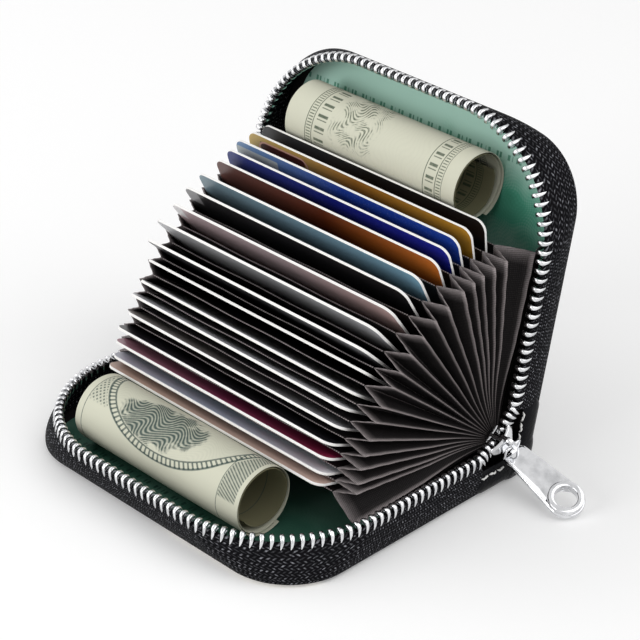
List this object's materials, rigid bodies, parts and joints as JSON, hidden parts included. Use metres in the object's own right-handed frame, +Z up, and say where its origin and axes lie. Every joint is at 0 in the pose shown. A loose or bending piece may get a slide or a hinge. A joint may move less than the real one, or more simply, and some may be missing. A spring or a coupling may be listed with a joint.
{
  "type": "card holder wallet",
  "caption": "Zip-around card wallet opened like a fan, with accordion card pockets, cards, rolled and flat notes, metal teeth, slider and pull tab with a ring.",
  "frame": {"origin": "centre of the lower cover's underside, which lies on the table", "axes": "+X along the spine towards the slider and pull tab, -Y from the spine to the open front, +Z up from the table"},
  "size_m": [0.1381, 0.1166, 0.1004],
  "materials": {
    "cover_leather": "black grained cover leather",
    "spine_leather": "smooth glossy black leather",
    "lining": "dark brown-black woven lining",
    "zip_tape": "black twill zip tape",
    "zip_metal": "bright silver teeth",
    "pocket_fabric": "dark brown-black ribbed nylon",
    "thread": "white thread",
    "chrome": "polished chrome",
    "note_paper": "cream cotton paper with grey-green printing",
    "green_paper": "green printed cotton paper",
    "card_01": "black card with white core at its edge",
    "card_02": "ochre gold card with white core at its edge",
    "card_03": "blue card with white core at its edge",
    "card_04": "dark blue card with white core at its edge",
    "card_05": "rust orange card with white core at its edge",
    "card_06": "steel blue card with white core at its edge",
    "card_07": "black card with white core at its edge",
    "card_08": "mauve pink card with white core at its edge",
    "card_09": "dark with white edge card with white core at its edge",
    "card_10": "dark with white edge card with white core at its edge",
    "card_11": "dark with white edge card with white core at its edge",
    "card_12": "light grey card with white core at its edge",
    "card_13": "silver card with white core at its edge",
    "card_14": "taupe card with white core at its edge",
    "card_15": "black card with white core at its edge",
    "card_16": "maroon card with white core at its edge",
    "card_17": "pale blue grey card with white core at its edge",
    "card_18": "pinkish beige card with white core at its edge"
  },
  "bodies": {
    "lower_half": {"lower_cover": "cover_leather", "lower_lining": "lining", "lower_zip_tape": "zip_tape", "lower_zip_teeth": "zip_metal", "gusset_left": "pocket_fabric", "gusset_right": "pocket_fabric", "pocket_strip": "pocket_fabric", "spine_leather": "spine_leather", "end_tab_left": "spine_leather", "end_tab_right": "spine_leather", "end_stitches": "thread"},
    "upper_half": {"upper_cover": "cover_leather", "upper_lining": "lining", "upper_zip_tape": "zip_tape", "upper_zip_teeth": "zip_metal"},
    "zip_end_body": {"zip_ends": "zip_tape"},
    "slider": {"slider_body": "chrome"},
    "link": {"pull_link": "chrome"},
    "tab": {"pull_tab": "chrome"},
    "leaf_00_body": {"leaf_00": "pocket_fabric"},
    "leaf_01_body": {"leaf_01": "pocket_fabric"},
    "leaf_02_body": {"leaf_02": "pocket_fabric"},
    "leaf_03_body": {"leaf_03": "pocket_fabric"},
    "leaf_04_body": {"leaf_04": "pocket_fabric"},
    "leaf_05_body": {"leaf_05": "pocket_fabric"},
    "leaf_06_body": {"leaf_06": "pocket_fabric"},
    "leaf_07_body": {"leaf_07": "pocket_fabric"},
    "leaf_08_body": {"leaf_08": "pocket_fabric"},
    "leaf_09_body": {"leaf_09": "pocket_fabric"},
    "leaf_10_body": {"leaf_10": "pocket_fabric"},
    "leaf_11_body": {"leaf_11": "pocket_fabric"},
    "leaf_12_body": {"leaf_12": "pocket_fabric"},
    "leaf_13_body": {"leaf_13": "pocket_fabric"},
    "leaf_14_body": {"leaf_14": "pocket_fabric"},
    "leaf_15_body": {"leaf_15": "pocket_fabric"},
    "leaf_16_body": {"leaf_16": "pocket_fabric"},
    "leaf_17_body": {"leaf_17": "pocket_fabric"},
    "leaf_18_body": {"leaf_18": "pocket_fabric"},
    "card_01_body": {"card_01": "card_01"},
    "card_02_body": {"card_02": "card_02"},
    "card_03_body": {"card_03": "card_03"},
    "card_04_body": {"card_04": "card_04"},
    "card_05_body": {"card_05": "card_05"},
    "card_06_body": {"card_06": "card_06"},
    "card_07_body": {"card_07": "card_07"},
    "card_08_body": {"card_08": "card_08"},
    "card_09_body": {"card_09": "card_09"},
    "card_10_body": {"card_10": "card_10"},
    "card_11_body": {"card_11": "card_11"},
    "card_12_body": {"card_12": "card_12"},
    "card_13_body": {"card_13": "card_13"},
    "card_14_body": {"card_14": "card_14"},
    "card_15_body": {"card_15": "card_15"},
    "card_16_body": {"card_16": "card_16"},
    "card_17_body": {"card_17": "card_17"},
    "card_18_body": {"card_18": "card_18"},
    "rolled_note_lower_body": {"rolled_note_lower": "note_paper"},
    "rolled_note_upper_body": {"rolled_note_upper": "note_paper"},
    "flat_note_lower_body": {"flat_note_lower": "green_paper"},
    "flat_note_upper_body": {"flat_note_upper": "green_paper"}
  },
  "joints": [
    {"name": "cover_fold", "type": "hinge", "parent": "lower_half", "child": "upper_half", "pos_m": [0, 0.04205, 0.012], "axis": [-1, 0, 0], "range_deg": [-100.4, 12], "deforming": ["gusset_left", "gusset_right", "pocket_strip", "spine_leather", "end_tab_left", "end_tab_right", "end_stitches", "rolled_note_lower", "rolled_note_upper"]},
    {"name": "leaf_00_fold", "type": "hinge", "parent": "lower_half", "child": "leaf_00_body", "pos_m": [0, 0.04205, 0.012], "axis": [-1, 0, 0], "range_deg": [-86.2, 10.48]},
    {"name": "leaf_01_fold", "type": "hinge", "parent": "lower_half", "child": "leaf_01_body", "pos_m": [0, 0.04205, 0.012], "axis": [-1, 0, 0], "range_deg": [-82.24, 10.01]},
    {"name": "leaf_02_fold", "type": "hinge", "parent": "lower_half", "child": "leaf_02_body", "pos_m": [0, 0.04205, 0.012], "axis": [-1, 0, 0], "range_deg": [-78.28, 9.53]},
    {"name": "leaf_03_fold", "type": "hinge", "parent": "lower_half", "child": "leaf_03_body", "pos_m": [0, 0.04205, 0.012], "axis": [-1, 0, 0], "range_deg": [-74.31, 9.06]},
    {"name": "leaf_04_fold", "type": "hinge", "parent": "lower_half", "child": "leaf_04_body", "pos_m": [0, 0.04205, 0.012], "axis": [-1, 0, 0], "range_deg": [-70.35, 8.59]},
    {"name": "leaf_05_fold", "type": "hinge", "parent": "lower_half", "child": "leaf_05_body", "pos_m": [0, 0.04205, 0.012], "axis": [-1, 0, 0], "range_deg": [-66.39, 8.11]},
    {"name": "leaf_06_fold", "type": "hinge", "parent": "lower_half", "child": "leaf_06_body", "pos_m": [0, 0.04205, 0.012], "axis": [-1, 0, 0], "range_deg": [-62.43, 7.64]},
    {"name": "leaf_07_fold", "type": "hinge", "parent": "lower_half", "child": "leaf_07_body", "pos_m": [0, 0.04205, 0.012], "axis": [-1, 0, 0], "range_deg": [-58.47, 7.16]},
    {"name": "leaf_08_fold", "type": "hinge", "parent": "lower_half", "child": "leaf_08_body", "pos_m": [0, 0.04205, 0.012], "axis": [-1, 0, 0], "range_deg": [-54.5, 6.69]},
    {"name": "leaf_09_fold", "type": "hinge", "parent": "lower_half", "child": "leaf_09_body", "pos_m": [0, 0.04205, 0.012], "axis": [-1, 0, 0], "range_deg": [-50.54, 6.22]},
    {"name": "leaf_10_fold", "type": "hinge", "parent": "lower_half", "child": "leaf_10_body", "pos_m": [0, 0.04205, 0.012], "axis": [-1, 0, 0], "range_deg": [-46.58, 5.74]},
    {"name": "leaf_11_fold", "type": "hinge", "parent": "lower_half", "child": "leaf_11_body", "pos_m": [0, 0.04205, 0.012], "axis": [-1, 0, 0], "range_deg": [-42.62, 5.27]},
    {"name": "leaf_12_fold", "type": "hinge", "parent": "lower_half", "child": "leaf_12_body", "pos_m": [0, 0.04205, 0.012], "axis": [-1, 0, 0], "range_deg": [-38.65, 4.8]},
    {"name": "leaf_13_fold", "type": "hinge", "parent": "lower_half", "child": "leaf_13_body", "pos_m": [0, 0.04205, 0.012], "axis": [-1, 0, 0], "range_deg": [-34.69, 4.32]},
    {"name": "leaf_14_fold", "type": "hinge", "parent": "lower_half", "child": "leaf_14_body", "pos_m": [0, 0.04205, 0.012], "axis": [-1, 0, 0], "range_deg": [-30.73, 3.85]},
    {"name": "leaf_15_fold", "type": "hinge", "parent": "lower_half", "child": "leaf_15_body", "pos_m": [0, 0.04205, 0.012], "axis": [-1, 0, 0], "range_deg": [-26.77, 3.38]},
    {"name": "leaf_16_fold", "type": "hinge", "parent": "lower_half", "child": "leaf_16_body", "pos_m": [0, 0.04205, 0.012], "axis": [-1, 0, 0], "range_deg": [-22.81, 2.9]},
    {"name": "leaf_17_fold", "type": "hinge", "parent": "lower_half", "child": "leaf_17_body", "pos_m": [0, 0.04205, 0.012], "axis": [-1, 0, 0], "range_deg": [-18.84, 2.43]},
    {"name": "leaf_18_fold", "type": "hinge", "parent": "lower_half", "child": "leaf_18_body", "pos_m": [0, 0.04205, 0.012], "axis": [-1, 0, 0], "range_deg": [-14.88, 1.96]},
    {"name": "zip_end_fold", "type": "hinge", "parent": "lower_half", "child": "zip_end_body", "pos_m": [0, 0.04205, 0.012], "axis": [-1, 0, 0], "range_deg": [-50.45, 6.21]},
    {"name": "slider_slide", "type": "slide", "parent": "zip_end_body", "child": "slider", "axis": [0, -0.6381, 0.77], "range_m": [0, 0.0015]},
    {"name": "link_swing", "type": "hinge", "parent": "slider", "child": "link", "pos_m": [0.05929, 0.03992, 0.01457], "axis": [-0.0941, -0.9395, -0.3294], "range_deg": [0, 60]},
    {"name": "tab_swing", "type": "hinge", "parent": "link", "child": "tab", "pos_m": [0.05721, 0.04267, 0.01036], "axis": [-0.0941, -0.9395, -0.3294], "range_deg": [0, 55]},
    {"name": "card_01_slide", "type": "slide", "parent": "leaf_01_body", "child": "card_01_body", "axis": [0, -0.1357, 0.9907], "range_m": [0, 0.046]},
    {"name": "card_02_slide", "type": "slide", "parent": "leaf_02_body", "child": "card_02_body", "axis": [0, -0.204, 0.979], "range_m": [0, 0.046]},
    {"name": "card_03_slide", "type": "slide", "parent": "leaf_03_body", "child": "card_03_body", "axis": [0, -0.2713, 0.9625], "range_m": [0, 0.046]},
    {"name": "card_04_slide", "type": "slide", "parent": "leaf_04_body", "child": "card_04_body", "axis": [0, -0.3373, 0.9414], "range_m": [0, 0.046]},
    {"name": "card_05_slide", "type": "slide", "parent": "leaf_05_body", "child": "card_05_body", "axis": [0, -0.4016, 0.9158], "range_m": [0, 0.046]},
    {"name": "card_06_slide", "type": "slide", "parent": "leaf_06_body", "child": "card_06_body", "axis": [0, -0.4641, 0.8858], "range_m": [0, 0.046]},
    {"name": "card_07_slide", "type": "slide", "parent": "leaf_07_body", "child": "card_07_body", "axis": [0, -0.5243, 0.8515], "range_m": [0, 0.046]},
    {"name": "card_08_slide", "type": "slide", "parent": "leaf_08_body", "child": "card_08_body", "axis": [0, -0.582, 0.8132], "range_m": [0, 0.046]},
    {"name": "card_09_slide", "type": "slide", "parent": "leaf_09_body", "child": "card_09_body", "axis": [0, -0.6369, 0.771], "range_m": [0, 0.046]},
    {"name": "card_10_slide", "type": "slide", "parent": "leaf_10_body", "child": "card_10_body", "axis": [0, -0.6887, 0.725], "range_m": [0, 0.046]},
    {"name": "card_11_slide", "type": "slide", "parent": "leaf_11_body", "child": "card_11_body", "axis": [0, -0.7373, 0.6756], "range_m": [0, 0.046]},
    {"name": "card_12_slide", "type": "slide", "parent": "leaf_12_body", "child": "card_12_body", "axis": [0, -0.7823, 0.6229], "range_m": [0, 0.046]},
    {"name": "card_13_slide", "type": "slide", "parent": "leaf_13_body", "child": "card_13_body", "axis": [0, -0.8235, 0.5673], "range_m": [0, 0.046]},
    {"name": "card_14_slide", "type": "slide", "parent": "leaf_14_body", "child": "card_14_body", "axis": [0, -0.8608, 0.5089], "range_m": [0, 0.046]},
    {"name": "card_15_slide", "type": "slide", "parent": "leaf_15_body", "child": "card_15_body", "axis": [0, -0.894, 0.4481], "range_m": [0, 0.046]},
    {"name": "card_16_slide", "type": "slide", "parent": "leaf_16_body", "child": "card_16_body", "axis": [0, -0.9229, 0.3851], "range_m": [0, 0.046]},
    {"name": "card_17_slide", "type": "slide", "parent": "leaf_17_body", "child": "card_17_body", "axis": [0, -0.9473, 0.3203], "range_m": [0, 0.046]},
    {"name": "card_18_slide", "type": "slide", "parent": "leaf_18_body", "child": "card_18_body", "axis": [0, -0.9672, 0.2539], "range_m": [0, 0.046]},
    {"name": "rolled_note_lower_slide", "type": "slide", "parent": "lower_half", "child": "rolled_note_lower_body", "axis": [1, 0, 0], "range_m": [-0.006, 0.012]},
    {"name": "rolled_note_upper_slide", "type": "slide", "parent": "upper_half", "child": "rolled_note_upper_body", "axis": [1, 0, 0], "range_m": [-0.006, 0.012]},
    {"name": "flat_note_lower_slide", "type": "slide", "parent": "lower_half", "child": "flat_note_lower_body", "axis": [0, -1, 0], "range_m": [-0.008, 0.002]},
    {"name": "flat_note_upper_slide", "type": "slide", "parent": "upper_half", "child": "flat_note_upper_body", "axis": [0, 0.1857, 0.9826], "range_m": [-0.008, 0.002]}
  ],
  "couplings": [
    {"joint": "leaf_00_fold", "follows": "cover_fold", "ratio": 0.85571},
    {"joint": "leaf_01_fold", "follows": "cover_fold", "ratio": 0.81629},
    {"joint": "leaf_02_fold", "follows": "cover_fold", "ratio": 0.77686},
    {"joint": "leaf_03_fold", "follows": "cover_fold", "ratio": 0.73744},
    {"joint": "leaf_04_fold", "follows": "cover_fold", "ratio": 0.69801},
    {"joint": "leaf_05_fold", "follows": "cover_fold", "ratio": 0.65859},
    {"joint": "leaf_06_fold", "follows": "cover_fold", "ratio": 0.61917},
    {"joint": "leaf_07_fold", "follows": "cover_fold", "ratio": 0.57974},
    {"joint": "leaf_08_fold", "follows": "cover_fold", "ratio": 0.54032},
    {"joint": "leaf_09_fold", "follows": "cover_fold", "ratio": 0.50089},
    {"joint": "leaf_10_fold", "follows": "cover_fold", "ratio": 0.46147},
    {"joint": "leaf_11_fold", "follows": "cover_fold", "ratio": 0.42205},
    {"joint": "leaf_12_fold", "follows": "cover_fold", "ratio": 0.38262},
    {"joint": "leaf_13_fold", "follows": "cover_fold", "ratio": 0.3432},
    {"joint": "leaf_14_fold", "follows": "cover_fold", "ratio": 0.30377},
    {"joint": "leaf_15_fold", "follows": "cover_fold", "ratio": 0.26435},
    {"joint": "leaf_16_fold", "follows": "cover_fold", "ratio": 0.22493},
    {"joint": "leaf_17_fold", "follows": "cover_fold", "ratio": 0.1855},
    {"joint": "leaf_18_fold", "follows": "cover_fold", "ratio": 0.14608},
    {"joint": "zip_end_fold", "follows": "cover_fold", "ratio": 0.5}
  ]
}
